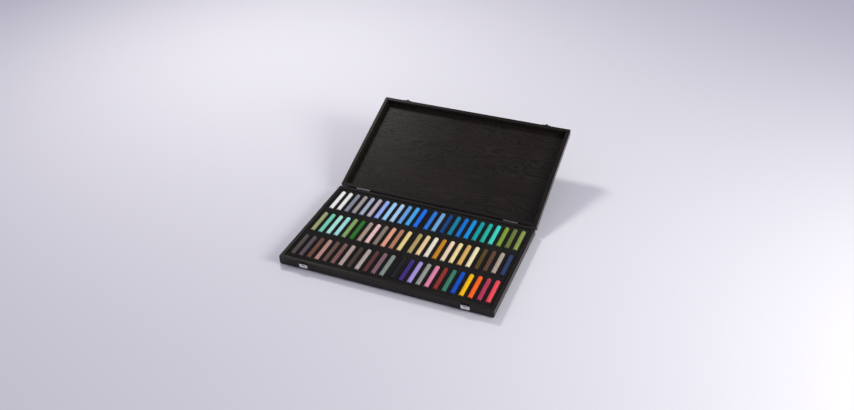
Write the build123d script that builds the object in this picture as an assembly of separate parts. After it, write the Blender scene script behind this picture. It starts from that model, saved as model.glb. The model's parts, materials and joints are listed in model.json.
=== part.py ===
from build123d import *

import os

os.makedirs("parts", exist_ok=True)

# A flat hinged wooden case for 72 round pastel sticks, standing open.
# X runs along the front, +Y towards the hinges, +Z up.
# Origin: the middle of the flat underside of the base.

# ------------------------------------------------------------ case, millimetres
case_width = 460.0
case_depth = 275.0
base_height = 20.0
lid_height = 18.0
wall = 8.0
edge_round = 4.0
corner_round = 2.0
rim_ease = 0.6
panel_thickness = 4.0
panel_rebate = 3.0
panel_play = 0.15
rim_gap = 0.3
lid_open_angle = 160.0

# ------------------------------------------------------------ butt hinges
hinge_inset = 57.0
hinge_length = 32.0
hinge_leaf_drop = 12.0
hinge_leaf_thickness = 1.0
hinge_barrel_radius = 2.0
hinge_barrel_clearance = 0.3
hinge_pin_radius = 1.0
hinge_knuckles = 3
barrel_facets = 16
hinge_screw_spacing = 18.0

# ------------------------------------------------------------ hasps
hasp_inset = 57.0
hasp_width = 18.0
hasp_drop = 11.0
hasp_below_rim = 1.8
hasp_plate_thickness = 0.8
hasp_barrel_radius = 1.5
hasp_barrel_clearance = 0.3
hasp_pin_radius = 0.6
hasp_slot_width = 6.4
hasp_slot_depth = 5.5
hasp_screw_spacing = 11.0
hook_plate_width = 19.0
hook_plate_height = 10.0
hook_width = 5.0
hook_thickness = 1.1
hook_rise = 3.8

# ------------------------------------------------------------ fasteners and running fits
pin_play = 0.05
pin_overhang = 0.4
knuckle_gap = 0.3
leaf_corner = 2.0
hinge_screw_radius = 1.0
hasp_screw_radius = 0.8
screw_length = 6.0
screw_play = 0.05
screw_facets = 8

# ------------------------------------------------------------ foam trays and sticks
tray_gap = 0.5
foam_below_rim = 3.5
foam_seat = 0.3
foam_web = 7.4
row_margin = 11.0
least_row_gap = 12.0
stick_radius = 5.0
stick_length = 65.0
stick_facets = 12
slot_play = 0.3
slot_depth = 5.8

# ------------------------------------------------------------ derived places
hinge_set_off = hinge_barrel_radius + hinge_barrel_clearance
hinge_y = case_depth / 2 + hinge_set_off
hinge_z = base_height + rim_gap / 2
hasp_set_off = hasp_barrel_radius + hasp_barrel_clearance
hasp_y = -case_depth / 2 - hasp_set_off
hasp_z = base_height - hasp_below_rim
lid_foot = base_height + rim_gap
inner_width = case_width - 2 * wall
inner_depth = case_depth - 2 * wall
sides = {"left": -1, "right": 1}
hinge_centre = case_width / 2 - hinge_inset
hasp_centre = case_width / 2 - hasp_inset
tray_width = (inner_width - (len(sides) + 1) * tray_gap) / len(sides)
tray_depth = inner_depth - 2 * tray_gap
tray_z = panel_thickness + foam_seat
foam_top = base_height - foam_below_rim
slot_floor = foam_top - slot_depth
stick_z = slot_floor + slot_play + stick_radius
slot_width = 2 * (stick_radius + slot_play)
slot_length = stick_length + 2 * slot_play
stick_pitch = slot_width + foam_web
sticks_per_row = int(tray_width // stick_pitch)
row_reach = tray_depth - 2 * row_margin
row_count = int((row_reach + least_row_gap) // (slot_length + least_row_gap))
row_pitch = (row_reach - slot_length) / max(row_count - 1, 1)

lid_swing = Pos(0, hinge_y, hinge_z) * Rot(X=-lid_open_angle) * Pos(0, -hinge_y, -hinge_z)


def save(name, solids, place=None):
    """Write one node, a single solid or a group of separate ones, at its resting place."""
    shape = Compound(children=solids) if isinstance(solids, list) else solids
    if place is not None:
        shape = shape.moved(place)
    export_step(shape, f"parts/{name}.step")


# ------------------------------------------------------------ wooden shells
def rail_section(height):
    """Section of a rail on its panel side: outer face on the left, rebate for the panel inside."""
    section = Polygon(
        (0, 0),
        (wall - panel_rebate, 0),
        (wall - panel_rebate, panel_thickness),
        (wall, panel_thickness),
        (wall, height),
        (0, height),
        align=None,
    )
    section = fillet(section.vertices().group_by(Axis.Y)[-1], rim_ease)
    outer_edge = section.vertices().sort_by_distance((0, 0))[0]
    return fillet(outer_edge, edge_round)


def mitred_rail(run, reach, height):
    """Rail along X at the front of a frame: run is its length, reach half the frame's depth."""
    section = Plane((-run / 2, -reach, 0), x_dir=(0, 1, 0), z_dir=(1, 0, 0)) * rail_section(height)
    bar = extrude(section, run)
    mitre = Polygon(
        (-run / 2, -reach),
        (run / 2, -reach),
        (run / 2 - wall, wall - reach),
        (wall - run / 2, wall - reach),
        align=None,
    )
    footprint = mitre & RectangleRounded(run, 2 * reach, corner_round)
    return bar & extrude(footprint, height)


def shell_pieces(height):
    """The four rails and the panel of a shallow tray standing on its panel."""
    long_rail = mitred_rail(case_width, case_depth / 2, height)
    short_rail = mitred_rail(case_depth, case_width / 2, height)
    panel = Box(
        case_width - 2 * (wall - panel_rebate + panel_play),
        case_depth - 2 * (wall - panel_rebate + panel_play),
        panel_thickness,
        align=(Align.CENTER, Align.CENTER, Align.MIN),
    )
    return {
        "front_rail": long_rail,
        "back_rail": Rot(Z=180) * long_rail,
        "left_rail": Rot(Z=-90) * short_rail,
        "right_rail": Rot(Z=90) * short_rail,
        "panel": panel,
    }


def turned_over(piece):
    """A tray piece placed as part of the shut lid, panel upwards."""
    return Pos(0, 0, lid_foot + lid_height) * mirror(piece, about=Plane.XY)


# ------------------------------------------------------------ screws
def countersunk_screw(radius, play=0.0):
    """Screw along Z, its flat head at z = 0 and its shank downwards, grown all round by play."""
    head = extrude(RegularPolygon(2 * radius + play, screw_facets), -radius, taper=45)
    shank = extrude(RegularPolygon(radius + play, screw_facets), -screw_length - play)
    return head + shank


def screw_spots(centres, spacing, y, z, facing):
    """Where screws sit in an upright face that looks along facing, +1 for +Y and -1 for -Y."""
    return [
        Pos(x + side * spacing / 2, y, z) * Rot(X=-90 * facing)
        for x in centres
        for side in (-1, 1)
    ]


hinge_centres = [side * hinge_centre for side in sides.values()]
hasp_centres = [side * hasp_centre for side in sides.values()]
hinge_screw_drop = (hinge_leaf_drop + hinge_set_off) / 2
leaf_face_y = case_depth / 2 + hinge_leaf_thickness
plate_face_y = -case_depth / 2 - hasp_plate_thickness
hasp_screw_z = hasp_z - (hasp_drop + hasp_set_off) / 2
hook_plate_z = lid_foot + rim_gap
hook_screw_z = hook_plate_z + hook_plate_height / 2

screw_groups = {
    "hinge_base_screws": screw_spots(
        hinge_centres, hinge_screw_spacing, leaf_face_y, hinge_z - hinge_screw_drop, 1
    ),
    "hinge_lid_screws": screw_spots(
        hinge_centres, hinge_screw_spacing, leaf_face_y, hinge_z + hinge_screw_drop, 1
    ),
    "hasp_plate_screws": screw_spots(
        hasp_centres, hasp_screw_spacing, plate_face_y, hasp_screw_z, -1
    ),
    "hook_plate_screws": screw_spots(
        hasp_centres, hasp_screw_spacing, plate_face_y, hook_screw_z, -1
    ),
}
hinge_seat = countersunk_screw(hinge_screw_radius, screw_play)
hasp_seat = countersunk_screw(hasp_screw_radius, screw_play)


def drilled(piece, group, seat):
    """A piece with the holes for one group of screws."""
    for spot in screw_groups[group]:
        piece -= spot * seat
    return piece


base = shell_pieces(base_height)
base["back_rail"] = drilled(base["back_rail"], "hinge_base_screws", hinge_seat)
base["front_rail"] = drilled(base["front_rail"], "hasp_plate_screws", hasp_seat)
for piece_name, piece in base.items():
    save(f"base_{piece_name}", piece)

lid = {name: turned_over(piece) for name, piece in shell_pieces(lid_height).items()}
lid["back_rail"] = drilled(lid["back_rail"], "hinge_lid_screws", hinge_seat)
lid["front_rail"] = drilled(lid["front_rail"], "hook_plate_screws", hasp_seat)
for piece_name, piece in lid.items():
    save(f"lid_{piece_name}", piece, lid_swing)


# ------------------------------------------------------------ hinges, about their pin at the origin
def pin(radius, length):
    """Round pin along X."""
    return Rot(Y=90) * Cylinder(radius, length)


def barrel(radius, length):
    """Rolled barrel along X, drawn with barrel_facets flats that touch its radius."""
    outline = RegularPolygon(radius, barrel_facets, major_radius=False)
    return extrude(Plane.YZ * outline, length / 2, both=True)


def rounded_plate(width, height, thickness):
    """Upright plate with its back on y = 0, hanging down from z = 0, lower corners rounded."""
    outline = Pos(0, -height / 2) * Rectangle(width, height)
    outline = fillet(outline.vertices().group_by(Axis.Y)[0], leaf_corner)
    return extrude(Plane.XZ * outline, thickness)


knuckle_pitch = hinge_length / hinge_knuckles
knuckle_length = knuckle_pitch - knuckle_gap
leaf_top = hinge_barrel_radius + hinge_barrel_clearance


def hinge_leaf(knuckle_numbers):
    """Leaf that hangs below its pin, flat on a back face that lies hinge_set_off in front."""
    plate = rounded_plate(hinge_length, hinge_leaf_drop - leaf_top, hinge_leaf_thickness)
    leaf = Pos(0, hinge_leaf_thickness - hinge_set_off, -leaf_top) * plate
    for number in knuckle_numbers:
        x = (number - (hinge_knuckles - 1) / 2) * knuckle_pitch
        leaf += Pos(x, 0, 0) * barrel(hinge_barrel_radius, knuckle_length)
        leaf += Pos(x, -hinge_set_off, -leaf_top) * Box(
            knuckle_length,
            hinge_leaf_thickness,
            leaf_top - knuckle_gap,
            align=(Align.CENTER, Align.MIN, Align.MIN),
        )
    return leaf - barrel(hinge_pin_radius + pin_play, hinge_length)


base_knuckles = range(0, hinge_knuckles, 2)
lid_knuckles = range(1, hinge_knuckles, 2)
hinge_pin = pin(hinge_pin_radius, hinge_length + 2 * pin_overhang)

for side_name, side in sides.items():
    spot = Pos(side * hinge_centre, hinge_y, hinge_z)
    base_leaf = drilled(spot * hinge_leaf(base_knuckles), "hinge_base_screws", hinge_seat)
    lid_leaf = spot * mirror(hinge_leaf(lid_knuckles), about=Plane.XY)
    lid_leaf = drilled(lid_leaf, "hinge_lid_screws", hinge_seat)
    save(f"{side_name}_hinge_base_leaf", base_leaf)
    save(f"{side_name}_hinge_lid_leaf", lid_leaf, lid_swing)
    save(f"{side_name}_hinge_pin", spot * hinge_pin)


# ------------------------------------------------------------ hasps, about their pin at the origin
middle_knuckle = hasp_slot_width - 2 * knuckle_gap
end_knuckle = (hasp_width - hasp_slot_width) / 2
hasp_plate_top = hasp_barrel_radius + hasp_barrel_clearance


def hasp_plate():
    """Fixed plate on the front of the base, with the middle knuckle."""
    plate = rounded_plate(hasp_width, hasp_drop - hasp_plate_top, hasp_plate_thickness)
    piece = Pos(0, hasp_set_off, -hasp_plate_top) * plate
    piece += barrel(hasp_barrel_radius, middle_knuckle)
    piece += Pos(0, hasp_set_off, -hasp_plate_top) * Box(
        middle_knuckle,
        hasp_plate_thickness,
        hasp_plate_top,
        align=(Align.CENTER, Align.MAX, Align.MIN),
    )
    return piece - barrel(hasp_pin_radius + pin_play, hasp_width)


def hasp_flap():
    """Swinging flap hanging from its two end knuckles, slotted in the middle for the hook."""
    flap = Pos(0, hasp_plate_thickness / 2, 0) * rounded_plate(
        hasp_width, hasp_drop, hasp_plate_thickness
    )
    for side in sides.values():
        x = side * (hasp_width - end_knuckle) / 2
        flap += Pos(x, 0, 0) * barrel(hasp_barrel_radius, end_knuckle)
    slot = Box(
        hasp_slot_width,
        4 * hasp_barrel_radius,
        hasp_slot_depth + 2 * hasp_barrel_radius,
        align=(Align.CENTER, Align.CENTER, Align.MIN),
    )
    flap -= Pos(0, 0, -hasp_slot_depth) * slot
    return flap - barrel(hasp_pin_radius + pin_play, hasp_width)


def hook_plate():
    """Plate on the front of the shut lid with the hook that comes out through the flap's slot."""
    foot = hook_plate_z - hasp_z
    plate = Rot(Y=180) * rounded_plate(hook_plate_width, hook_plate_height, hasp_plate_thickness)
    piece = Pos(0, hasp_set_off, foot) * plate
    reach = hasp_plate_thickness + hook_thickness
    sill = foot + hook_thickness
    hook = Polygon(
        (hasp_set_off - hasp_plate_thickness / 2, foot),
        (hasp_set_off - hasp_plate_thickness / 2, sill),
        (-hasp_plate_thickness, sill),
        (-hasp_plate_thickness - hook_thickness / 2, foot + hook_rise),
        (-reach - hook_thickness / 2, foot + hook_rise),
        (-reach, foot),
        align=None,
    )
    outer_bend = hook.vertices().sort_by_distance((-reach, foot))[0]
    hook = fillet(outer_bend, hook_thickness * 0.8)
    hook = extrude(Plane.YZ * hook, hook_width / 2, both=True)
    return piece + hook


hasp_pin = pin(hasp_pin_radius, hasp_width + 2 * pin_overhang)

for side_name, side in sides.items():
    spot = Pos(side * hasp_centre, hasp_y, hasp_z)
    plate = drilled(spot * hasp_plate(), "hasp_plate_screws", hasp_seat)
    hook = drilled(spot * hook_plate(), "hook_plate_screws", hasp_seat)
    save(f"{side_name}_hasp_plate", plate)
    save(f"{side_name}_hasp_flap", spot * hasp_flap())
    save(f"{side_name}_hasp_pin", spot * hasp_pin)
    save(f"{side_name}_hook_plate", hook, lid_swing)

save(
    "hinge_base_screws",
    [spot * countersunk_screw(hinge_screw_radius) for spot in screw_groups["hinge_base_screws"]],
)
save(
    "hinge_lid_screws",
    [spot * countersunk_screw(hinge_screw_radius) for spot in screw_groups["hinge_lid_screws"]],
    lid_swing,
)
save(
    "hasp_plate_screws",
    [spot * countersunk_screw(hasp_screw_radius) for spot in screw_groups["hasp_plate_screws"]],
)
save(
    "hook_plate_screws",
    [spot * countersunk_screw(hasp_screw_radius) for spot in screw_groups["hook_plate_screws"]],
    lid_swing,
)

# ------------------------------------------------------------ foam trays with their sticks
stick_xs = [(n - (sticks_per_row - 1) / 2) * stick_pitch for n in range(sticks_per_row)]
row_ys = [(n - (row_count - 1) / 2) * row_pitch for n in range(row_count)]


def foam_tray():
    """Die-cut foam insert with one slot for each stick."""
    lowest = (Align.CENTER, Align.CENTER, Align.MIN)
    block = Box(tray_width, tray_depth, foam_top - tray_z, align=lowest)
    slots = Sketch() + [Pos(x, y) * Rectangle(slot_width, slot_length) for x in stick_xs for y in row_ys]
    return block - Pos(0, 0, slot_floor - tray_z) * extrude(slots, slot_depth)


def pastel_stick():
    """Round stick lying along Y, its round drawn with stick_facets flats."""
    return extrude(Plane.XZ * RegularPolygon(stick_radius, stick_facets), stick_length / 2, both=True)


stick = pastel_stick()
tray = foam_tray()
for side_name, side in sides.items():
    centre = side * (tray_width + tray_gap) / 2
    save(f"{side_name}_foam_tray", Pos(centre, 0, tray_z) * tray)
    for number, y in enumerate(row_ys, start=1):
        row = [Pos(centre + x, y, stick_z) * stick for x in stick_xs]
        save(f"{side_name}_row_{number}_sticks", row)
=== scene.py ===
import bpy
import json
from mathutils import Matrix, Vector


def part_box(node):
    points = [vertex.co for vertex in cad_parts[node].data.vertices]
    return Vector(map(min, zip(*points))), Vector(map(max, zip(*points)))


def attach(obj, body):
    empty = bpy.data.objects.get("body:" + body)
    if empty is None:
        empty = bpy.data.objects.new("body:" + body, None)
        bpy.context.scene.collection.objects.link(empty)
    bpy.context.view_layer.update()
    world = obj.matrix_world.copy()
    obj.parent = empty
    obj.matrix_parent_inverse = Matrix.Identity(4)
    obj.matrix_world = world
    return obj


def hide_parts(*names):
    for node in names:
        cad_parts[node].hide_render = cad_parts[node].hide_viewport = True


bl_info = {
    "name": "Pastel Stick Case",
    "version": (1, 0, 0),
    "blender": (4, 5, 0),
    "location": "View3D > Sidebar > Pastel Case",
    "description": "Dresses a hinged wooden case of round pastel sticks",
    "category": "Object",
}

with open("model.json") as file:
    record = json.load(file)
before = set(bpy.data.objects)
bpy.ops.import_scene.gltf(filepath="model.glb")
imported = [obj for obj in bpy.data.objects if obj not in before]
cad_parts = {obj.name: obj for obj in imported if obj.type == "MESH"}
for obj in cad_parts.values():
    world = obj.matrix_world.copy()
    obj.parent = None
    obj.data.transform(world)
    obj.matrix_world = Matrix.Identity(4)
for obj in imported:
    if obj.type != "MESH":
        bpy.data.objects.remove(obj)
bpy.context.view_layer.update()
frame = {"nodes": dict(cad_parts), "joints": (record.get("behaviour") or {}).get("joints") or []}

import json
import math

import bmesh
import bpy
from bpy.props import FloatProperty, FloatVectorProperty, IntProperty, PointerProperty
from mathutils import Matrix, Vector

SIDES = ("left", "right")
MM = 0.001
STICKS_IN_ROW = 12

# ---------------------------------------------------------------- sizes read from the frame
ROW_LOW, ROW_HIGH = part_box("left_row_1_sticks")
STICK_RADIUS = (ROW_HIGH.z - ROW_LOW.z) / 2
STICK_LENGTH = ROW_HIGH.y - ROW_LOW.y
STICK_PITCH = (ROW_HIGH.x - ROW_LOW.x - 2 * STICK_RADIUS) / (STICKS_IN_ROW - 1)
HINGE = next(joint for joint in frame["joints"] if joint["name"] == "lid_hinge")
HINGE_POINT = Vector(HINGE["pos_m"])
LID_ANGLE = -math.radians(HINGE["range_deg"][0])

# The lid's place: where a point of the shut lid stands when the lid is open.
OPEN_LID = (
    Matrix.Translation(HINGE_POINT)
    @ Matrix.Rotation(-LID_ANGLE, 4, "X")
    @ Matrix.Translation(-HINGE_POINT)
)

# ---------------------------------------------------------------- fixed values
# Studio: where the lamps stand and aim, their widths, and the colours of light.
KEY_PLACE, FILL_PLACE, LAMP_AIM = (-1.02, 0.93, 1.43), (1.85, -0.16, 0.97), (0, 0.1, 0)
KEY_WIDTH, GLINT_WIDTH, FILL_WIDTH = 0.34, 0.6, 0.9
WARM_LIGHT, COOL_LIGHT, ROOM_LIGHT = (1.0, 0.99, 0.88), (0.96, 0.97, 0.87), (0.845, 0.815, 1.1)
# Sine of the height angle at which the room's walls have turned into its ceiling.
CEILING_START = 0.75
FLOOR_REACH, PAPER_SHADE = 7.0, 0.985
SENSOR_WIDTH = 36.0

# Noise: the span of its values that most masks use. Samples of a bevelled normal.
NOISE_SPAN = (0.3, 0.7)
BEVEL_SAMPLES = 6
# Cosine between a face's normal and its bevelled normal, on the flat and at a full edge.
BEND_ON_FLAT, BEND_AT_EDGE = 0.995, 0.86

# Wood: waves per metre along and across the grain, rings that one wave of wander moves, and
# what each layer adds to the tone.
WANDER_WAVES, PORE_WAVES, STREAK_WAVES = (3.2, 11, 11), (70, 1500, 1500), (9, 210, 210)
RING_WANDER = 16.0
RING_TONE, PORE_TONE, STREAK_TONE, CLOUD_TONE = 0.62, 0.12, 0.2, 0.22
# Direction of the grain in the shut case and how far its rings wander.
WOOD_PARTS = {
    "front_rail": ("X", 0.3),
    "back_rail": ("X", 0.3),
    "left_rail": ("Y", 0.3),
    "right_rail": ("Y", 0.3),
    "panel": ("X", 1.7),
}

# Metal: tarnished and rubbed plating against its own colour, and the reach of the blend into
# painted shade.
TARNISH_SHADE, RUBBED_SHADE, BRIGHTEST = 0.52, 1.16, 0.93
SHADE_PAINT_REACH = 0.3 * MM

# Foam: pale cells against the foam's colour, chalk on it, grid step, lips and swell.
PALE_CELL_SHADE = 2.2
CHALK_COLOUR, CHALK_ON_FOAM = (0.34, 0.32, 0.31), 0.09
FOAM_STEP = 3.2 * MM
LIP_SEGMENTS = 3
SWELL_WAVES, SKIN_DEPTH = 23.0, 0.1 * MM
SHARP_ANGLE = math.radians(50)

# Sticks: rings of vertices along a stick, and waves per metre of its skin.
STICK_RINGS, SKIN_WAVES = 40, 210.0
END_WEAR, WAVINESS, STICK_FACETS, STICK_SEED = 0.35 * MM, 0.09 * MM, 28, 7

# Screws: sizes in shank radii. The arms of the recess differ a little in depth, so that no
# two faces of the cut lie in one plane. The gap tells two neighbouring screws apart.
HEAD_RADIUS, SHANK_FIT, SHANK_START = 2.0, 0.96, 0.9
ARM_LENGTH, ARM_WIDTH, ARM_DEPTHS = 2.3, 0.42, (0.90, 0.94)
HEAD_FACETS, SHANK_FACETS, SCREW_SEED = 32, 24, 3
SCREW_GAP = 2 * MM

# ---------------------------------------------------------------- colours of the sticks
PIGMENTS = {
    "white": "#F3F3EF",
    "warm_white": "#EFEDE7",
    "slate_grey": "#868B97",
    "warm_grey": "#A29899",
    "pale_slate": "#A5B0C4",
    "rose_grey": "#BDB0BB",
    "periwinkle": "#94AEF2",
    "pale_sky": "#9FD0F4",
    "ice_blue": "#ABD0EE",
    "soft_blue": "#64A0DE",
    "cerulean": "#46A6E8",
    "azure": "#1270EA",
    "medium_blue": "#2876D4",
    "steel_blue": "#74A9DA",
    "deep_navy": "#0C407E",
    "deep_teal": "#067EA0",
    "ocean_blue": "#0A70CA",
    "bright_azure": "#0C90DC",
    "teal": "#089EA0",
    "jade_teal": "#1CB2A0",
    "turquoise": "#3CD2C0",
    "leaf_olive": "#7C9C34",
    "dark_olive": "#66763A",
    "olive": "#86984A",
    "sage": "#9CA672",
    "mint": "#76D0B2",
    "pale_mint": "#AAE8DA",
    "pale_aqua": "#A2E2E0",
    "grass_green": "#84A460",
    "dark_green": "#2A7426",
    "taupe": "#A89484",
    "pale_pink": "#ECC2BE",
    "grey_brown": "#887A6E",
    "salmon": "#E6A288",
    "sienna": "#B27C5E",
    "naples_yellow": "#EAD28C",
    "khaki": "#B09E64",
    "straw": "#EACE96",
    "cream": "#ECE5D0",
    "golden_ochre": "#C4841E",
    "pale_peach": "#EED4B6",
    "pale_yellow": "#F0DA9C",
    "ochre": "#D8AC60",
    "cream_yellow": "#F0E3B6",
    "umber": "#54421C",
    "dark_brown": "#5C4030",
    "greige": "#ADA190",
    "navy": "#263A60",
    "charcoal_brown": "#544C48",
    "plum_grey": "#5C5057",
    "chestnut": "#6E4A3C",
    "rosy_brown": "#B98B80",
    "cocoa": "#684E46",
    "russet": "#7E5A52",
    "dusty_rose": "#B5A09A",
    "bark": "#463930",
    "light_greige": "#B2A89F",
    "oxblood": "#5C3634",
    "mauve": "#806069",
    "grey_green": "#848E86",
    "black": "#1C1C1F",
    "violet": "#402A78",
    "lavender": "#A594D2",
    "stone_grey": "#94988E",
    "rose_pink": "#E084A4",
    "brick_red": "#8C2E26",
    "viridian": "#387C64",
    "ultramarine": "#044EBC",
    "signal_yellow": "#F6BE02",
    "orange": "#FA6618",
    "crimson": "#AE3654",
    "coral_red": "#EA4A56",
}

ROWS = {
    "left_row_3": "white warm_white slate_grey warm_grey pale_slate rose_grey periwinkle"
    " pale_sky ice_blue soft_blue cerulean azure",
    "right_row_3": "medium_blue steel_blue deep_navy deep_teal ocean_blue bright_azure teal"
    " jade_teal turquoise leaf_olive dark_olive olive",
    "left_row_2": "sage mint pale_mint pale_aqua grass_green dark_green taupe pale_pink"
    " grey_brown salmon sienna naples_yellow",
    "right_row_2": "khaki straw cream golden_ochre pale_peach pale_yellow ochre cream_yellow"
    " umber dark_brown greige navy",
    "left_row_1": "charcoal_brown plum_grey chestnut rosy_brown cocoa russet dusty_rose bark"
    " light_greige oxblood mauve grey_green",
    "right_row_1": "black violet lavender stone_grey rose_pink brick_red viridian ultramarine"
    " signal_yellow orange crimson coral_red",
}


def linear(code):
    """Linear colour of a #RRGGBB code."""
    parts = [int(code[i : i + 2], 16) / 255 for i in (1, 3, 5)]
    return tuple(c / 12.92 if c <= 0.04045 else ((c + 0.055) / 1.055) ** 2.4 for c in parts)


# ---------------------------------------------------------------- settings
def colour_property(name, description, default):
    return FloatVectorProperty(
        name=name, description=description, subtype="COLOR", size=3, min=0, max=1, default=default
    )


def length_property(name, description, default, **limits):
    return FloatProperty(
        name=name, description=description, default=default, unit="LENGTH", precision=5, **limits
    )


class PastelPigments(bpy.types.PropertyGroup):
    """Colour of each pigment that the sticks are pressed from."""

    __annotations__ = {
        key: colour_property(
            key.replace("_", " ").capitalize(), "Colour of this pigment", linear(code)
        )
        for key, code in PIGMENTS.items()
    }


class PastelStickSettings(bpy.types.PropertyGroup):
    """Shape of the sticks."""

    radius: length_property("Radius", "Radius of a stick", STICK_RADIUS, min=0.001)
    length: length_property("Length", "Length of a stick", STICK_LENGTH, min=0.01)
    end_wear: length_property("End wear", "How far the ends are rubbed round", END_WEAR, min=0)
    waviness: length_property("Waviness", "How far the pressed surface wanders", WAVINESS, min=0)
    facets: IntProperty(
        name="Facets", description="Faces round a stick", default=STICK_FACETS, min=8, max=64
    )
    seed: IntProperty(
        name="Seed", description="Seed of the sticks' small differences", default=STICK_SEED
    )


class FoamSettings(bpy.types.PropertyGroup):
    """Shape and colour of the foam trays."""

    slot_play: length_property("Slot play", "Gap round a stick in its slot", 0.3 * MM, min=0)
    lip_radius: length_property("Lip radius", "Rounding of the slots' lips", 0.9 * MM, min=0)
    swell: length_property("Swell", "How far the foam's skin dips in waves", 0.25 * MM, min=0)
    rise: length_property("Rise", "How far the skin stands above the solid", 1.9 * MM, min=0)
    cell: length_property("Cell", "Size of the foam's cells", 0.6 * MM, min=0.0001)
    colour: colour_property("Colour", "Colour of the foam", (0.0052, 0.0045, 0.0038))


class CaseFinishSettings(bpy.types.PropertyGroup):
    """Finish of the wood and of the fittings."""

    stain_dark: colour_property("Dark stain", "Stain in the grain", (0.003, 0.0027, 0.0027))
    stain_light: colour_property("Light stain", "Stain between the grain", (0.022, 0.0172, 0.0132))
    base_gloss: FloatProperty(
        name="Base gloss", description="Specular level of the base", default=0.24, min=0, max=1
    )
    lid_gloss: FloatProperty(
        name="Lid gloss", description="Specular level of the lid", default=0.34, min=0, max=1
    )
    worn_edge: colour_property("Worn edge", "Stain rubbed off an edge", (0.06, 0.056, 0.055))
    ring_spacing: length_property("Ring spacing", "Width of a growth ring", 7.5 * MM, min=0.001)
    nickel: colour_property("Nickel", "Colour of the fittings", (0.80, 0.785, 0.75))
    dulled: colour_property("Dulled nickel", "Colour of the hinges", (0.42, 0.41, 0.39))
    # Painted shade: hooks, knuckles and pins are coloured near black to stand for their shade and
    # dark reflections.
    shade_paint: colour_property("Shade-painted metal", "Hooks, knuckles and pins", (0.035, 0.034, 0.034))
    scratch: length_property("Scratch", "Width of the fittings' scratches", 0.25 * MM, min=0.00001)


class StudioSettings(bpy.types.PropertyGroup):
    """Camera, floor and light."""

    lens: FloatProperty(name="Lens", description="Focal length", default=35.84, unit="CAMERA")
    azimuth: FloatProperty(
        name="Azimuth", description="Camera's turn round the case", default=math.radians(22.98),
        unit="ROTATION",
    )
    elevation: FloatProperty(
        name="Elevation", description="Camera's height angle", default=math.radians(35.11),
        unit="ROTATION",
    )
    roll: FloatProperty(
        name="Roll", description="Camera's tilt", default=math.radians(-1.39), unit="ROTATION"
    )
    distance: length_property("Distance", "From the camera to what it looks at", 1.896)
    target: FloatVectorProperty(
        name="Target", description="What the camera looks at", subtype="TRANSLATION", size=3,
        default=(-0.027, 0.161, 0.0),
    )
    floor_colour: colour_property("Floor", "Colour of the floor", (0.77, 0.76, 0.81))
    key_power: FloatProperty(
        name="Key power", description="Power of the key lamp", default=17.6, unit="POWER"
    )
    key_glint: FloatProperty(
        name="Key glint", description="Share of the key that shows in glossy things",
        default=0.15, min=0, max=1, subtype="FACTOR",
    )
    fill_power: FloatProperty(
        name="Fill power", description="Power of the fill lamp", default=29.0, unit="POWER"
    )
    walls: FloatProperty(name="Walls", description="Brightness of the room's walls", default=0.6)
    ceiling: FloatProperty(
        name="Ceiling", description="Brightness of the room's ceiling", default=0.14
    )
    bounce: FloatProperty(
        name="Bounce", description="Room light on dull things against its reflections",
        default=1.76, min=0,
    )


# ---------------------------------------------------------------- node helpers
class Tree:
    """Short way to add linked nodes to a node tree."""

    def __init__(self, tree):
        self.tree = tree

    def add(self, kind, inputs=None, **settings):
        node = self.tree.nodes.new(kind)
        for name, value in settings.items():
            setattr(node, name, value)
        self.fill(node, inputs or {})
        return node

    def fill(self, node, inputs):
        for name, value in inputs.items():
            self.feed(node.inputs[name], value)

    def feed(self, socket, value):
        if isinstance(value, bpy.types.NodeSocket):
            self.tree.links.new(value, socket)
        else:
            socket.default_value = value

    def maths(self, operation, *values, clamp=False):
        return self.add(
            "ShaderNodeMath", dict(enumerate(values)), operation=operation, use_clamp=clamp
        ).outputs[0]

    def weigh(self, *layers, base=0.0):
        """Sum of layers, each times its weight, on top of a base value."""
        for layer, weight in layers:
            base = self.maths("MULTIPLY_ADD", layer, weight, base)
        return base

    def vector(self, operation, *values):
        return self.add("ShaderNodeVectorMath", dict(enumerate(values)), operation=operation)

    def stretch(self, place, factors):
        return self.vector("MULTIPLY", place, factors).outputs[0]

    def join(self, **parts):
        return self.add("ShaderNodeCombineXYZ", parts).outputs[0]

    def split(self, vector):
        return self.add("ShaderNodeSeparateXYZ", {0: vector}).outputs

    def place(self):
        """Object coordinates, which stay with the piece in every view."""
        return self.add("ShaderNodeTexCoord").outputs["Object"]

    def noise(self, place, scale, detail, roughness=0.5):
        inputs = {"Vector": place, "Scale": scale, "Detail": detail, "Roughness": roughness}
        return self.add("ShaderNodeTexNoise", inputs).outputs[0]

    def bump(self, height, strength, distance, **more):
        inputs = {"Height": height, "Strength": strength, "Distance": distance, **more}
        return self.add("ShaderNodeBump", inputs).outputs[0]

    def mix(self, factor, low, high, blend="MIX"):
        node = self.add("ShaderNodeMix", data_type="RGBA", blend_type=blend)
        for name, value in (("Factor_Float", factor), ("A_Color", low), ("B_Color", high)):
            self.feed(next(s for s in node.inputs if s.identifier == name), value)
        return next(s for s in node.outputs if s.identifier == "Result_Color")

    def between(self, value, low, high, to_low=0.0, to_high=1.0):
        inputs = {0: value, 1: low, 2: high, 3: to_low, 4: to_high}
        return self.add("ShaderNodeMapRange", inputs, clamp=True).outputs[0]

    def group(self, name, inputs):
        node = self.add("ShaderNodeGroup", node_tree=bpy.data.node_groups[name])
        self.fill(node, inputs)
        return node.outputs

    def random_turn(self, seed):
        """An angle of up to a full turn that differs for each point."""
        node = self.add("FunctionNodeRandomValue", {"Seed": seed}, data_type="FLOAT")
        return self.maths("MULTIPLY", node.outputs[1], 2 * math.pi)


def rgba(colour):
    return (*colour, 1.0)


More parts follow.
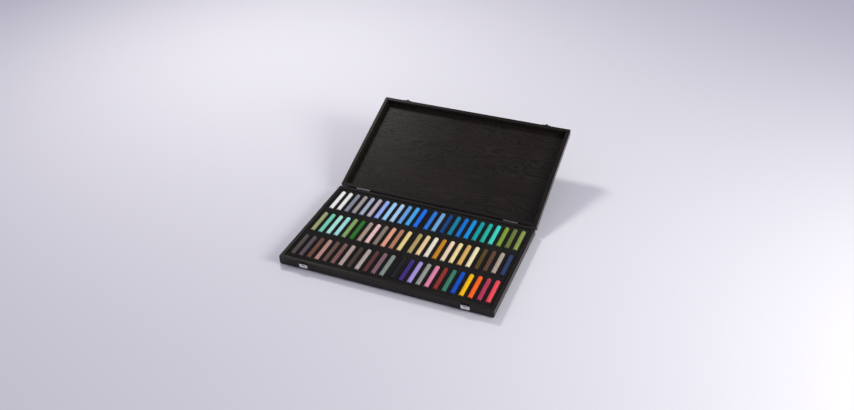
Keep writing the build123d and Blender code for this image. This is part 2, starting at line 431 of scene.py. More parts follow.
def new_group(name, inputs, outputs, kind="ShaderNodeTree"):
    """Node group with named sockets, and its inner input and output nodes."""
    group = bpy.data.node_groups.new(name, kind)
    for direction, sockets in (("INPUT", inputs), ("OUTPUT", outputs)):
        for socket_name, (socket_kind, default) in sockets.items():
            socket = group.interface.new_socket(
                socket_name, in_out=direction, socket_type=f"NodeSocket{socket_kind}"
            )
            if default is not None:
                socket.default_value = default
    tree = Tree(group)
    return tree, tree.add("NodeGroupInput").outputs, tree.add("NodeGroupOutput").inputs


# ---------------------------------------------------------------- shared shader groups
def edge_wear_group():
    """Mask of the edges and corners that hands and tables rub."""
    tree, given, out = new_group(
        "Edge wear",
        {
            "Vector": ("Vector", None),
            "Width": ("Float", 0.001),
            "Patch Size": ("Float", 0.01),
            "Amount": ("Float", 0.5),
        },
        {"Mask": ("Float", None)},
    )
    bevel = tree.add("ShaderNodeBevel", {"Radius": given["Width"]}, samples=BEVEL_SAMPLES)
    flat = tree.add("ShaderNodeNewGeometry").outputs["Normal"]
    bend = tree.vector("DOT_PRODUCT", bevel.outputs["Normal"], flat).outputs["Value"]
    edge = tree.between(bend, BEND_ON_FLAT, BEND_AT_EDGE)
    scale = tree.maths("DIVIDE", 1.0, given["Patch Size"])
    patches = tree.noise(given["Vector"], scale, detail=5.0, roughness=0.65)
    patchy = tree.between(patches, 0.36, 0.62)
    strength = tree.maths("MULTIPLY", edge, given["Amount"])
    tree.feed(out["Mask"], tree.maths("MULTIPLY", strength, patchy, clamp=True))


def grain_group():
    """Stained timber: growth rings, pores and uneven stain along the X of the given vector."""
    tree, given, out = new_group(
        "Stained grain",
        {
            "Vector": ("Vector", None),
            "Ring Spacing": ("Float", 0.0075),
            "Figure": ("Float", 1.0),
            "Dark": ("Color", (0.006, 0.006, 0.006, 1)),
            "Light": ("Color", (0.02, 0.018, 0.016, 1)),
        },
        {
            "Color": ("Color", None),
            "Roughness": ("Float", None),
            "Height": ("Float", None),
        },
    )
    # Slow wander of the rings, several times longer along the grain than across it.
    long_way = tree.stretch(given["Vector"], WANDER_WAVES)
    wander = tree.noise(long_way, scale=1.0, detail=3.0, roughness=0.55)
    wander = tree.maths("MULTIPLY", tree.maths("SUBTRACT", wander, 0.5), given["Figure"])
    across = tree.split(given["Vector"])
    place = tree.maths("DIVIDE", tree.maths("ADD", across[1], across[2]), given["Ring Spacing"])
    saw = tree.maths("FRACT", tree.weigh((wander, RING_WANDER), base=place))
    rings = tree.maths("MULTIPLY", tree.between(saw, 0.0, 0.82), tree.between(saw, 1.0, 0.86))
    # Pores: thin dashes along the grain.
    thin = tree.stretch(given["Vector"], PORE_WAVES)
    pores = tree.between(tree.noise(thin, scale=1.0, detail=2.0, roughness=0.6), 0.34, 0.56)
    # Streaks a few millimetres wide and cloudy stain.
    streaks = tree.noise(tree.stretch(given["Vector"], STREAK_WAVES), scale=1.0, detail=3.0)
    clouds = tree.noise(given["Vector"], scale=14.0, detail=3.0)
    tone = tree.weigh(
        (rings, RING_TONE),
        (pores, PORE_TONE),
        (tree.between(streaks, *NOISE_SPAN), STREAK_TONE),
        (tree.between(clouds, *NOISE_SPAN), CLOUD_TONE),
    )
    tree.feed(out["Color"], tree.mix(tone, given["Dark"], given["Light"]))
    rough = tree.weigh((pores, -0.06), (rings, -0.05), (clouds, 0.08), base=0.30)
    tree.feed(out["Roughness"], rough)
    tree.feed(out["Height"], tree.weigh((rings, 0.5), (pores, 0.7)))


def dust_group():
    """Loose chalk that settles on what faces up."""
    tree, given, out = new_group(
        "Chalk dust",
        {"Vector": ("Vector", None), "Amount": ("Float", 0.2)},
        {"Mask": ("Float", None)},
    )
    up = tree.split(tree.add("ShaderNodeNewGeometry").outputs["Normal"])[2]
    fine = tree.noise(given["Vector"], scale=900.0, detail=4.0, roughness=0.75)
    broad = tree.noise(given["Vector"], scale=38.0, detail=2.0)
    specks = tree.maths("MULTIPLY", tree.between(fine, 0.5, 0.72), tree.between(broad, 0.4, 0.7))
    lying = tree.maths("MULTIPLY", specks, tree.between(up, 0.2, 0.9))
    tree.feed(out["Mask"], tree.maths("MULTIPLY", lying, given["Amount"], clamp=True))


# ---------------------------------------------------------------- materials
def new_material(name):
    material = bpy.data.materials.new(name)
    material.use_nodes = True
    material.node_tree.nodes.clear()
    tree = Tree(material.node_tree)
    shader = tree.add("ShaderNodeBsdfPrincipled")
    surface = tree.add("ShaderNodeOutputMaterial", {"Surface": shader.outputs[0]})
    surface.is_active_output = True
    return material, tree, shader


def wear_mask(tree, place, width, patch, amount):
    inputs = {"Vector": place, "Width": width, "Patch Size": patch, "Amount": amount}
    return tree.group("Edge wear", inputs)["Mask"]


def wood_material(name, settings, along, in_lid, figure, gloss):
    """Black-stained wood with its grain along X or Y of the shut case."""
    material, tree, shader = new_material(name)
    place = tree.place()
    turns = []
    if in_lid:
        back = OPEN_LID.inverted()
        turns.append({"Location": back.to_translation(), "Rotation": back.to_euler()})
    if along == "Y":
        turns.append({"Rotation": (0, 0, math.radians(90))})
    for turn in turns:
        place = tree.add("ShaderNodeMapping", {"Vector": place, **turn}).outputs[0]
    grain = tree.group(
        "Stained grain",
        {
            "Vector": place,
            "Ring Spacing": settings.ring_spacing,
            "Figure": figure,
            "Dark": rgba(settings.stain_dark),
            "Light": rgba(settings.stain_light),
        },
    )
    wear = wear_mask(tree, place, width=0.9 * MM, patch=14 * MM, amount=0.5)
    look = {
        "Base Color": tree.mix(wear, grain["Color"], rgba(settings.worn_edge)),
        "Roughness": grain["Roughness"],
        "Normal": tree.bump(grain["Height"], strength=0.35, distance=0.06 * MM),
        "Specular IOR Level": gloss,
    }
    tree.fill(shader, look)
    return material


def nickel_material(name, settings, plate, shade_painted_above=None):
    """Plated pressed steel with fine scratches, with painted shade above a height where one is
    given.
    """
    material, tree, shader = new_material(name)
    place = tree.place()
    drawn = tree.stretch(place, (0.05, 1.0, 1.0))
    scratches = tree.noise(drawn, scale=1 / settings.scratch, detail=3.0, roughness=0.6)
    clouds = tree.noise(place, scale=260.0, detail=4.0)
    tarnish = tree.between(clouds, 0.42, 0.72, 0.0, 0.35)
    colour = tree.mix(tarnish, rgba(plate), rgba([TARNISH_SHADE * c for c in plate]))
    wear = wear_mask(tree, place, width=0.3 * MM, patch=3 * MM, amount=0.8)
    colour = tree.mix(wear, colour, rgba([min(BRIGHTEST, RUBBED_SHADE * c) for c in plate]))
    # Painted shade: above the given height the colour turns near black, standing for the shade and
    # dark reflection round the knuckle.
    if shade_painted_above is not None:
        height = tree.split(place)[2]
        start, end = shade_painted_above - SHADE_PAINT_REACH, shade_painted_above + SHADE_PAINT_REACH
        colour = tree.mix(tree.between(height, start, end), colour, rgba(settings.shade_paint))
    soft = tree.add("ShaderNodeBevel", {"Radius": 0.2 * MM}, samples=BEVEL_SAMPLES).outputs[0]
    look = {
        "Base Color": colour,
        "Metallic": 1.0,
        "Roughness": tree.between(clouds, *NOISE_SPAN, 0.24, 0.4),
        "Normal": tree.bump(scratches, strength=0.25, distance=0.02 * MM, Normal=soft),
    }
    tree.fill(shader, look)
    return material


def foam_material(name, settings):
    """Charcoal die-cut foam: open cells, a slight nap and a little chalk dust."""
    material, tree, shader = new_material(name)
    place = tree.place()
    cells = tree.add(
        "ShaderNodeTexVoronoi", {"Vector": place, "Scale": 1 / settings.cell, "Randomness": 1.0}
    ).outputs["Distance"]
    fine = tree.noise(place, scale=2600.0, detail=3.0, roughness=0.7)
    broad = tree.noise(place, scale=60.0, detail=4.0)
    pale = rgba([min(1, PALE_CELL_SHADE * c) for c in settings.colour])
    tone = tree.weigh(
        (tree.between(cells, 0.2, 0.75), 0.35), (tree.between(broad, *NOISE_SPAN), 0.35), base=-0.05
    )
    shade = tree.mix(tone, rgba(settings.colour), pale)
    dust = tree.group("Chalk dust", {"Vector": place, "Amount": CHALK_ON_FOAM})["Mask"]
    height = tree.weigh((fine, 0.4), base=cells)
    look = {
        "Base Color": tree.mix(dust, shade, rgba(CHALK_COLOUR)),
        "Roughness": tree.between(fine, 0.2, 0.8, 0.82, 0.98),
        "Normal": tree.bump(height, strength=0.5, distance=0.25 * MM),
        "Specular IOR Level": 0.16,
        "Sheen Weight": 0.04,
        "Sheen Roughness": 0.5,
    }
    tree.fill(shader, look)
    return material


def pastel_material(name):
    """Pressed chalk pigment: its colour is the stick's own, with pores, streaks and rubbed ends."""
    material, tree, shader = new_material(name)
    place = tree.place()
    pigment = tree.add(
        "ShaderNodeAttribute", attribute_type="GEOMETRY", attribute_name="stick_colour"
    ).outputs["Color"]
    powder = tree.noise(place, scale=1500.0, detail=5.0, roughness=0.72)
    streaks = tree.noise(tree.stretch(place, (1.0, 0.07, 1.0)), scale=620.0, detail=3.0)
    patches = tree.noise(place, scale=120.0, detail=3.0)
    dark = tree.mix(1.0, pigment, (0.82, 0.82, 0.83, 1), "MULTIPLY")
    pale = tree.mix(1.0, pigment, (1.1, 1.1, 1.1, 1), "MULTIPLY")
    tone = tree.weigh(
        (tree.between(powder, *NOISE_SPAN), 0.45),
        (tree.between(streaks, *NOISE_SPAN), 0.2),
        (tree.between(patches, *NOISE_SPAN), 0.35),
    )
    wear = wear_mask(tree, place, width=0.7 * MM, patch=4 * MM, amount=0.3)
    rubbed = tree.mix(0.35, pigment, (0.92, 0.91, 0.9, 1))
    height = tree.weigh((streaks, 0.5), base=tree.between(powder, 0.25, 0.5))
    look = {
        "Base Color": tree.mix(wear, tree.mix(tone, dark, pale), rubbed),
        "Roughness": tree.between(powder, 0.2, 0.8, 0.86, 1.0),
        "Normal": tree.bump(height, strength=0.45, distance=0.09 * MM),
        "Specular IOR Level": 0.15,
        "Sheen Weight": 0.05,
        "Sheen Roughness": 0.6,
    }
    tree.fill(shader, look)
    return material


def floor_material(name, colour):
    """Pale seamless paper."""
    material, tree, shader = new_material(name)
    tooth = tree.noise(tree.place(), scale=420.0, detail=3.0)
    look = {
        "Base Color": tree.mix(tooth, rgba([PAPER_SHADE * c for c in colour]), rgba(colour)),
        "Roughness": 0.85,
        "Specular IOR Level": 0.2,
    }
    tree.fill(shader, look)
    return material


# ---------------------------------------------------------------- geometry node trees
def geometry_tree(name, inputs):
    sockets = {"Geometry": ("Geometry", None), **inputs, "Material": ("Material", None)}
    return new_group(name, sockets, {"Geometry": ("Geometry", None)}, "GeometryNodeTree")


def coat_in(tree, shape, given, out):
    """Ends a geometry tree with its material."""
    inputs = {"Geometry": shape.outputs[0], "Material": given["Material"]}
    coated = tree.add("GeometryNodeSetMaterial", inputs)
    tree.feed(out["Geometry"], coated.outputs[0])


def stick_tree():
    """A stick on every point: a round bar along Y with rubbed ends and a slightly uneven skin."""
    tree, given, out = geometry_tree(
        "Pastel sticks",
        {
            "Radius": ("Float", STICK_RADIUS),
            "Length": ("Float", STICK_LENGTH),
            "End Wear": ("Float", END_WEAR),
            "Waviness": ("Float", WAVINESS),
            "Facets": ("Int", STICK_FACETS),
            "Seed": ("Int", STICK_SEED),
        },
    )
    half = tree.maths("MULTIPLY", given["Length"], 0.5)
    ends = {"Start": tree.join(Y=tree.maths("MULTIPLY", half, -1.0)), "End": tree.join(Y=half)}
    line = tree.add("GeometryNodeCurvePrimitiveLine", ends)
    line = tree.add(
        "GeometryNodeResampleCurve", {"Curve": line.outputs[0], "Count": STICK_RINGS}
    )
    # Points crowd towards the ends, where the rounding is.
    along = tree.add("GeometryNodeSplineParameter").outputs["Factor"]
    swing = tree.maths("COSINE", tree.maths("MULTIPLY", along, math.pi))
    bunched = tree.maths("MULTIPLY", tree.maths("MULTIPLY", swing, half), -1.0)
    line = tree.add(
        "GeometryNodeSetPosition", {"Geometry": line.outputs[0], "Position": tree.join(Y=bunched)}
    )
    # How deep a point lies in the rounded end: 0 where it starts, 1 at the tip.
    wear = given["End Wear"]
    past = tree.maths(
        "SUBTRACT", tree.maths("ABSOLUTE", bunched), tree.maths("SUBTRACT", half, wear)
    )
    deep = tree.maths("DIVIDE", past, wear, clamp=True)
    left = tree.maths("SUBTRACT", 1.0, tree.maths("MULTIPLY", deep, deep), clamp=True)
    drop = tree.maths("SUBTRACT", 1.0, tree.maths("SQRT", left))
    thick = tree.maths("SUBTRACT", given["Radius"], tree.maths("MULTIPLY", drop, wear))
    ring = tree.add(
        "GeometryNodeCurvePrimitiveCircle", {"Resolution": given["Facets"], "Radius": 1.0}
    )
    skin = tree.add(
        "GeometryNodeCurveToMesh",
        {
            "Curve": line.outputs[0],
            "Profile Curve": ring.outputs[0],
            "Fill Caps": True,
            "Scale": thick,
        },
    )
    placed = tree.add(
        "GeometryNodeInstanceOnPoints",
        {
            "Points": given["Geometry"],
            "Instance": skin.outputs[0],
            "Rotation": tree.join(Y=tree.random_turn(given["Seed"])),
        },
    )
    whole = tree.add("GeometryNodeRealizeInstances", {"Geometry": placed.outputs[0]})
    # The pressed skin wanders by a hair, inwards only.
    point = tree.add("GeometryNodeInputPosition").outputs[0]
    wander = tree.noise(point, SKIN_WAVES, detail=2.0)
    inward = tree.maths("MULTIPLY", tree.maths("MULTIPLY", wander, -1.0), given["Waviness"])
    moved = tree.vector("SCALE", tree.add("GeometryNodeInputNormal").outputs[0])
    tree.feed(moved.inputs["Scale"], inward)
    whole = tree.add(
        "GeometryNodeSetPosition", {"Geometry": whole.outputs[0], "Offset": moved.outputs[0]}
    )
    smooth = tree.add(
        "GeometryNodeSetShadeSmooth", {"Geometry": whole.outputs[0], "Shade Smooth": True}
    )
    coat_in(tree, smooth, given, out)


def screw_tree():
    """A countersunk screw with a cross recess on every point, turned by its own angle."""
    tree, given, out = geometry_tree(
        "Cross screws",
        {
            "Shank Radius": ("Float", 1.0 * MM),
            "Shank Length": ("Float", 6.0 * MM),
            "Facing": ("Vector", (0.0, 0.0, 1.0)),
            "Seed": ("Int", SCREW_SEED),
        },
    )
    radius, length = given["Shank Radius"], given["Shank Length"]

    def times(share):
        return tree.maths("MULTIPLY", radius, share)

    def lifted(shape, height):
        inputs = {"Geometry": shape.outputs[0], "Translation": tree.join(Z=height)}
        return tree.add("GeometryNodeTransform", inputs)

    cone = tree.add(
        "GeometryNodeMeshCone",
        {
            "Vertices": HEAD_FACETS,
            "Radius Top": times(HEAD_RADIUS),
            "Radius Bottom": radius,
            "Depth": radius,
        },
        fill_type="NGON",
    )
    shank_depth = tree.maths("SUBTRACT", length, times(SHANK_START))
    shank = tree.add(
        "GeometryNodeMeshCylinder",
        {"Vertices": SHANK_FACETS, "Radius": times(SHANK_FIT), "Depth": shank_depth},
        fill_type="NGON",
    )
    middle = tree.maths("SUBTRACT", tree.maths("MULTIPLY", shank_depth, 0.5), length)
    body = tree.add("GeometryNodeMeshBoolean", operation="UNION", solver="EXACT")
    for piece in (lifted(cone, times(-1.0)), lifted(shank, middle)):
        tree.tree.links.new(piece.outputs[0], body.inputs["Mesh 2"])
    arms = ((ARM_LENGTH, ARM_WIDTH), (ARM_WIDTH, ARM_LENGTH))
    for (across, along), deep in zip(arms, ARM_DEPTHS):
        size = tree.join(X=times(across), Y=times(along), Z=times(deep))
        arm = tree.add("GeometryNodeMeshCube", {"Size": size})
        body = tree.add(
            "GeometryNodeMeshBoolean",
            {"Mesh 1": body.outputs[0], "Mesh 2": arm.outputs[0]},
            operation="DIFFERENCE",
            solver="EXACT",
        )
    turn = tree.join(Z=tree.random_turn(given["Seed"]))
    spin = tree.add("FunctionNodeEulerToRotation", {0: turn})
    aim = tree.add("FunctionNodeAlignRotationToVector", {"Vector": given["Facing"]}, axis="Z")
    both = tree.add(
        "FunctionNodeRotateRotation",
        {"Rotation": aim.outputs[0], "Rotate By": spin.outputs[0]},
        rotation_space="LOCAL",
    )
    placed = tree.add(
        "GeometryNodeInstanceOnPoints",
        {"Points": given["Geometry"], "Instance": body.outputs[0], "Rotation": both.outputs[0]},
    )
    whole = tree.add("GeometryNodeRealizeInstances", {"Geometry": placed.outputs[0]})
    coat_in(tree, whole, given, out)


def grown(name, points, tree_name, values, colours=None):
    """Plain mesh object that a geometry tree grows on the given points."""
    seed_mesh = bpy.data.meshes.new(f"{name}_points")
    seed_mesh.from_pydata(points, [], [])
    if colours:
        layer = seed_mesh.attributes.new("stick_colour", "FLOAT_COLOR", "POINT")
        for item, colour in zip(layer.data, colours):
            item.color = rgba(colour)
    source = bpy.data.objects.new(f"{name}_points", seed_mesh)
    bpy.context.scene.collection.objects.link(source)
    modifier = source.modifiers.new("Grow", "NODES")
    group = bpy.data.node_groups[tree_name]
    modifier.node_group = group
    for item in group.interface.items_tree:
        if item.item_type == "SOCKET" and item.in_out == "INPUT" and item.name in values:
            modifier[item.identifier] = values[item.name]
    graph = bpy.context.evaluated_depsgraph_get()
    mesh = bpy.data.meshes.new_from_object(source.evaluated_get(graph))
    source.modifiers.remove(modifier)
    bpy.data.objects.remove(source)
    if not mesh.polygons:
        raise RuntimeError(f"{tree_name} made nothing for {name}")
    piece = bpy.data.objects.new(name, mesh)
    mesh.name = name
    bpy.context.scene.collection.objects.link(piece)
    return piece


def coat(name, material):
    """Gives a node of the frame one material."""
    mesh = frame["nodes"][name].data
    mesh.materials.clear()
    mesh.materials.append(material)


# ---------------------------------------------------------------- operators
class CASE_OT_studio(bpy.types.Operator):
    """Sets the camera, the pale floor and the soft lamps"""

    bl_idname = "case.studio"
    bl_label = "Studio"

    def execute(self, context):
        settings = context.scene.case_studio
        scene = context.scene
        scene.view_settings.view_transform = "Standard"
        self.camera(scene, settings)
        self.floor(scene, settings)
        glint = settings.key_glint * settings.key_power
        dull = settings.key_power - glint
        self.lamp(scene, "Key lamp", KEY_PLACE, KEY_WIDTH, dull, WARM_LIGHT, False)
        self.lamp(scene, "Key glint", KEY_PLACE, GLINT_WIDTH, glint, WARM_LIGHT, True)
        self.lamp(
            scene, "Fill lamp", FILL_PLACE, FILL_WIDTH, settings.fill_power, COOL_LIGHT, True
        )
        self.room(scene, settings)
        return {"FINISHED"}

    def camera(self, scene, settings):
        turn, rise, roll = settings.azimuth, settings.elevation, settings.roll
        back = Vector(
            (math.sin(turn) * math.cos(rise), -math.cos(turn) * math.cos(rise), math.sin(rise))
        )
        right = Vector((math.cos(turn), math.sin(turn), 0))
        up = back.cross(right)
        across = math.cos(roll) * right + math.sin(roll) * up
        upright = math.cos(roll) * up - math.sin(roll) * right
        data = bpy.data.cameras.new("Camera")
        data.lens = settings.lens
        data.sensor_width = SENSOR_WIDTH
        data.sensor_fit = "HORIZONTAL"
        camera = bpy.data.objects.new("Camera", data)
        scene.collection.objects.link(camera)
        facing = Matrix((across, upright, back)).transposed().to_4x4()
        place = Vector(settings.target) + back * settings.distance
        camera.matrix_world = Matrix.Translation(place) @ facing
        scene.camera = camera

    def floor(self, scene, settings):
        mesh = bpy.data.meshes.new("Floor")
        signs = ((-1, -1), (1, -1), (1, 1), (-1, 1))
        corners = [(FLOOR_REACH * x, FLOOR_REACH * y, 0) for x, y in signs]
        mesh.from_pydata(corners, [], [(0, 1, 2, 3)])
        floor = bpy.data.objects.new("Floor", mesh)
        scene.collection.objects.link(floor)
        mesh.materials.append(floor_material("Pale paper", settings.floor_colour))

    def lamp(self, scene, name, place, width, power, colour, glossy):
        data = bpy.data.lights.new(name, "AREA")
        data.shape = "DISK"
        data.size = width
        data.energy = power
        data.color = colour
        lamp = bpy.data.objects.new(name, data)
        scene.collection.objects.link(lamp)
        lamp.location = place
        lamp.visible_glossy = glossy
        lamp.rotation_mode = "QUATERNION"
        lamp.rotation_quaternion = (Vector(place) - Vector(LAMP_AIM)).to_track_quat("Z", "Y")

    def room(self, scene, settings):
        world = bpy.data.worlds.new("Studio room")
        scene.world = world
        world.use_nodes = True
        world.node_tree.nodes.clear()
        tree = Tree(world.node_tree)
        way = tree.add("ShaderNodeTexCoord").outputs["Generated"]
        height = tree.split(way)[2]
        strength = tree.between(height, 0.0, CEILING_START, settings.walls, settings.ceiling)
        glossy = tree.add("ShaderNodeLightPath").outputs["Is Glossy Ray"]
        share = tree.between(glossy, 0.0, 1.0, settings.bounce, 1.0)
        strength = tree.maths("MULTIPLY", strength, share)
        light = tree.add(
            "ShaderNodeBackground", {"Color": rgba(ROOM_LIGHT), "Strength": strength}
        )
        tree.add("ShaderNodeOutputWorld", {"Surface": light.outputs[0]})


class CASE_OT_woodwork(bpy.types.Operator):
    """Stains the rails and panels of the base and the lid"""

    bl_idname = "case.woodwork"
    bl_label = "Woodwork"

    def execute(self, context):
        settings = context.scene.case_finish
        edge_wear_group()
        grain_group()
        shells = (("base", False, settings.base_gloss), ("lid", True, settings.lid_gloss))
        for shell, in_lid, gloss in shells:
            for part, (along, figure) in WOOD_PARTS.items():
                name = f"{shell}_{part}"
                coat(name, wood_material(f"Stained {name}", settings, along, in_lid, figure, gloss))
        return {"FINISHED"}


class CASE_OT_fittings(bpy.types.Operator):
    """Finishes the hinges and hasps in bright or dulled metal, with near-black colour painted on
    the hooks, the knuckle pins and the hasp flaps' tops as shade
    """

    bl_idname = "case.fittings"
    bl_label = "Hinges and hasps"

    def execute(self, context):
        settings = context.scene.case_finish
        # A little under the knuckles' barrel, from where the metal is painted dark as shade.
        barrel_foot = 2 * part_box("left_hasp_pin")[0].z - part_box("left_hasp_flap")[1].z
        metals = {
            "hinge_base_leaf hinge_lid_leaf hinge_pin": nickel_material(
                "Dulled nickel", settings, settings.dulled
            ),
            "hasp_flap hasp_plate": nickel_material(
                "Hasp nickel", settings, settings.nickel, barrel_foot
            ),
            # The hasp pins and hook plates take metal painted near black as shade.
            "hasp_pin hook_plate": nickel_material(
                "Shade-painted metal", settings, settings.shade_paint
            ),
        }
        for pieces, metal in metals.items():
            for piece in pieces.split():
                for side in SIDES:
                    coat(f"{side}_{piece}", metal)
        return {"FINISHED"}


class CASE_OT_screws(bpy.types.Operator):
    """Drives the countersunk cross-head screws"""

    bl_idname = "case.screws"
    bl_label = "Screws"

    def execute(self, context):
        screw_tree()
        for name, body, facing, metal in (
            ("hinge_base_screws", "base", 1, "Dulled nickel"),
            ("hinge_lid_screws", "lid", 1, "Dulled nickel"),
            ("hasp_plate_screws", "base", -1, "Hasp nickel"),
            # The hook plates' screws take the metal painted near black as shade.
            ("hook_plate_screws", "lid", -1, "Shade-painted metal"),
        ):
            turn = OPEN_LID if body == "lid" else Matrix.Identity(4)
            heads, radius, length = self.places(name, turn.inverted(), facing)
            piece = grown(
                f"{name}_cross_head",
                [turn @ head for head in heads],
                "Cross screws",
                {
                    "Shank Radius": radius,
                    "Shank Length": length,
                    "Facing": turn.to_3x3() @ Vector((0, facing, 0)),
                    "Material": bpy.data.materials[metal],
                },
            )
            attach(piece, body)
            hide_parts(name)
        return {"FINISHED"}

    def places(self, name, shut, facing):
        """Head centres in the shut case, shank radius and length, from the frame's own screws."""
        points = [shut @ v.co for v in frame["nodes"][name].data.vertices]
        face = max(facing * p.y for p in points)
        length = face - min(facing * p.y for p in points)
        groups = []
        for p in sorted(points, key=lambda p: p.x):
            if not groups or p.x - groups[-1][-1].x > SCREW_GAP:
                groups.append([])
            groups[-1].append(p)
        heads = []
        for group in groups:
            xs, zs = [p.x for p in group], [p.z for p in group]
            radius = (max(xs) - min(xs)) / (2 * HEAD_RADIUS)
            heads.append(Vector(((max(xs) + min(xs)) / 2, facing * face, (max(zs) + min(zs)) / 2)))
        return heads, radius, length


class CASE_OT_foam(bpy.types.Operator):
    """Cuts the two foam trays with their slots"""

    bl_idname = "case.foam"
    bl_label = "Foam trays"

    def execute(self, context):
        settings = context.scene.case_foam
        dust_group()
        material = foam_material("Charcoal foam", settings)
        for side in SIDES:
            piece = self.tray(side, settings)
            piece.data.materials.append(material)
            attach(piece, f"{side}_tray")
            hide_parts(f"{side}_foam_tray")
        return {"FINISHED"}

    def tray(self, side, settings):
        low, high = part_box(f"{side}_foam_tray")
        rows = [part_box(f"{side}_row_{n}_sticks") for n in (1, 2, 3)]
        floor = rows[0][0].z - settings.slot_play
        half = STICK_RADIUS + settings.slot_play
        first = rows[0][0].x + STICK_RADIUS
        xs = [first + n * STICK_PITCH for n in range(STICKS_IN_ROW)]
        slots_x = [(x - half, x + half) for x in xs]
        slots_y = [(r[0].y - settings.slot_play, r[1].y + settings.slot_play) for r in rows]
        lines_x = self.lines(low.x, high.x, slots_x)
        lines_y = self.lines(low.y, high.y, slots_y)
        top = high.z + settings.rise
        mesh = bmesh.new()
        grid = [[mesh.verts.new((x, y, top)) for y in lines_y] for x in lines_x]
        sunk = []
        for i in range(len(lines_x) - 1):
            for j in range(len(lines_y) - 1):
                face = mesh.faces.new(
                    (grid[i][j], grid[i + 1][j], grid[i + 1][j + 1], grid[i][j + 1])
                )
                middle = face.calc_center_median()
                if self.inside(middle.x, slots_x) and self.inside(middle.y, slots_y):
                    sunk.append(face)
        floors = set(sunk)
        lips = [
            edge for edge in mesh.edges if len({face in floors for face in edge.link_faces}) == 2
        ]
        rim = [edge for edge in mesh.edges if edge.is_boundary]
        # Sink the slots.
        result = bmesh.ops.extrude_face_region(mesh, geom=sunk)
        moved = [v for v in result["geom"] if isinstance(v, bmesh.types.BMVert)]
        bmesh.ops.translate(mesh, verts=moved, vec=(0, 0, floor - top))
        stale = [f for f in sunk if f.is_valid]
        bmesh.ops.delete(mesh, geom=stale, context="FACES")
        # Outer walls and underside.
        walls = bmesh.ops.extrude_edge_only(mesh, edges=rim)
        down = [v for v in walls["geom"] if isinstance(v, bmesh.types.BMVert)]
        bmesh.ops.translate(mesh, verts=down, vec=(0, 0, low.z - top))
        loop = [e for e in walls["geom"] if isinstance(e, bmesh.types.BMEdge)]
        bmesh.ops.contextual_create(mesh, geom=loop)
        edges = [e for e in lips + rim if e.is_valid]
        bmesh.ops.bevel(
            mesh,
            geom=edges,
            offset=settings.lip_radius,
            offset_type="OFFSET",
            segments=LIP_SEGMENTS,
            profile=0.5,
            affect="EDGES",
            clamp_overlap=True,
        )
        self.swell(mesh, top, settings)
        bmesh.ops.recalc_face_normals(mesh, faces=mesh.faces)
        data = bpy.data.meshes.new(f"{side}_foam")
        mesh.to_mesh(data)
        mesh.free()
        for face in data.polygons:
            face.use_smooth = True
        data.set_sharp_from_angle(angle=SHARP_ANGLE)
        piece = bpy.data.objects.new(f"{side}_foam", data)
        bpy.context.scene.collection.objects.link(piece)
        return piece

    def inside(self, value, spans):
        return any(low < value < high for low, high in spans)

    def lines(self, low, high, spans):
        """Grid lines from low to high with every slot's edges among them, finer in between."""
        stops = sorted([low, high] + [edge for span in spans for edge in span])
        lines = [stops[0]]
        for a, b in zip(stops, stops[1:]):
            count = max(1, round((b - a) / FOAM_STEP))
            lines += [a + (b - a) * n / count for n in range(1, count + 1)]
        return lines

    def swell(self, mesh, top, settings):
        """Small ups and downs of the foam's skin, kept just under its flat height."""
        for vertex in mesh.verts:
            if vertex.co.z > top - SKIN_DEPTH:
                x, y = vertex.co.x * SWELL_WAVES, vertex.co.y * SWELL_WAVES
                # The factors are unlike, so that the waves don't line up with the slots.
                wave = math.sin(3.1 * x + 1.7 * y) * math.sin(2.3 * y - 1.1 * x + 0.8)
                vertex.co.z -= settings.swell * (0.5 + 0.5 * wave)


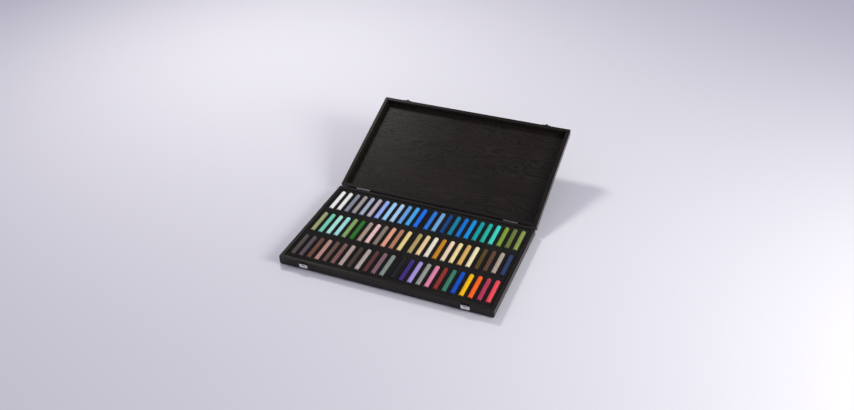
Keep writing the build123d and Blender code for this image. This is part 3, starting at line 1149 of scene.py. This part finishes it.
class CASE_OT_sticks(bpy.types.Operator):
    """Lays the 72 pastel sticks in their slots"""

    bl_idname = "case.sticks"
    bl_label = "Pastel sticks"

    def execute(self, context):
        settings = context.scene.case_sticks
        pigments = context.scene.case_pigments
        stick_tree()
        material = pastel_material("Pressed pastel")
        for number, (row, names) in enumerate(ROWS.items()):
            low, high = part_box(f"{row}_sticks")
            centre = (low + high) / 2
            span = (STICKS_IN_ROW - 1) * STICK_PITCH
            points = [
                (centre.x - span / 2 + n * STICK_PITCH, centre.y, centre.z)
                for n in range(STICKS_IN_ROW)
            ]
            colours = [tuple(getattr(pigments, name)) for name in names.split()]
            if len(colours) != STICKS_IN_ROW:
                raise RuntimeError(f"{row} has {len(colours)} colours")
            piece = grown(
                f"{row}_pastels",
                points,
                "Pastel sticks",
                {
                    "Radius": settings.radius,
                    "Length": settings.length,
                    "End Wear": settings.end_wear,
                    "Waviness": settings.waviness,
                    "Facets": settings.facets,
                    "Seed": settings.seed + number,
                    "Material": material,
                },
                colours,
            )
            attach(piece, row)
            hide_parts(f"{row}_sticks")
        return {"FINISHED"}


OPERATORS = (
    CASE_OT_studio,
    CASE_OT_woodwork,
    CASE_OT_fittings,
    CASE_OT_screws,
    CASE_OT_foam,
    CASE_OT_sticks,
)


class CASE_PT_sidebar(bpy.types.Panel):
    """Lists what can be built and its settings"""

    bl_label = "Pastel Case"
    bl_idname = "CASE_PT_sidebar"
    bl_space_type = "VIEW_3D"
    bl_region_type = "UI"
    bl_category = "Pastel Case"

    def draw(self, context):
        layout = self.layout
        for operator in OPERATORS:
            layout.operator(operator.bl_idname)
        for attribute, kind in SETTINGS.items():
            box = layout.box()
            box.label(text=kind.__doc__)
            group = getattr(context.scene, attribute)
            for key in kind.__annotations__:
                box.prop(group, key)


SETTINGS = {
    "case_pigments": PastelPigments,
    "case_sticks": PastelStickSettings,
    "case_foam": FoamSettings,
    "case_finish": CaseFinishSettings,
    "case_studio": StudioSettings,
}
CLASSES = (*SETTINGS.values(), *OPERATORS, CASE_PT_sidebar)


def register():
    for cls in CLASSES:
        bpy.utils.register_class(cls)
    for attribute, kind in SETTINGS.items():
        setattr(bpy.types.Scene, attribute, PointerProperty(type=kind))


def unregister():
    for attribute in SETTINGS:
        delattr(bpy.types.Scene, attribute)
    for cls in reversed(CLASSES):
        bpy.utils.unregister_class(cls)


def main():
    register()
    for operator in OPERATORS:
        area, name = operator.bl_idname.split(".")
        getattr(getattr(bpy.ops, area), name)()


if __name__ == "__main__":
    main()
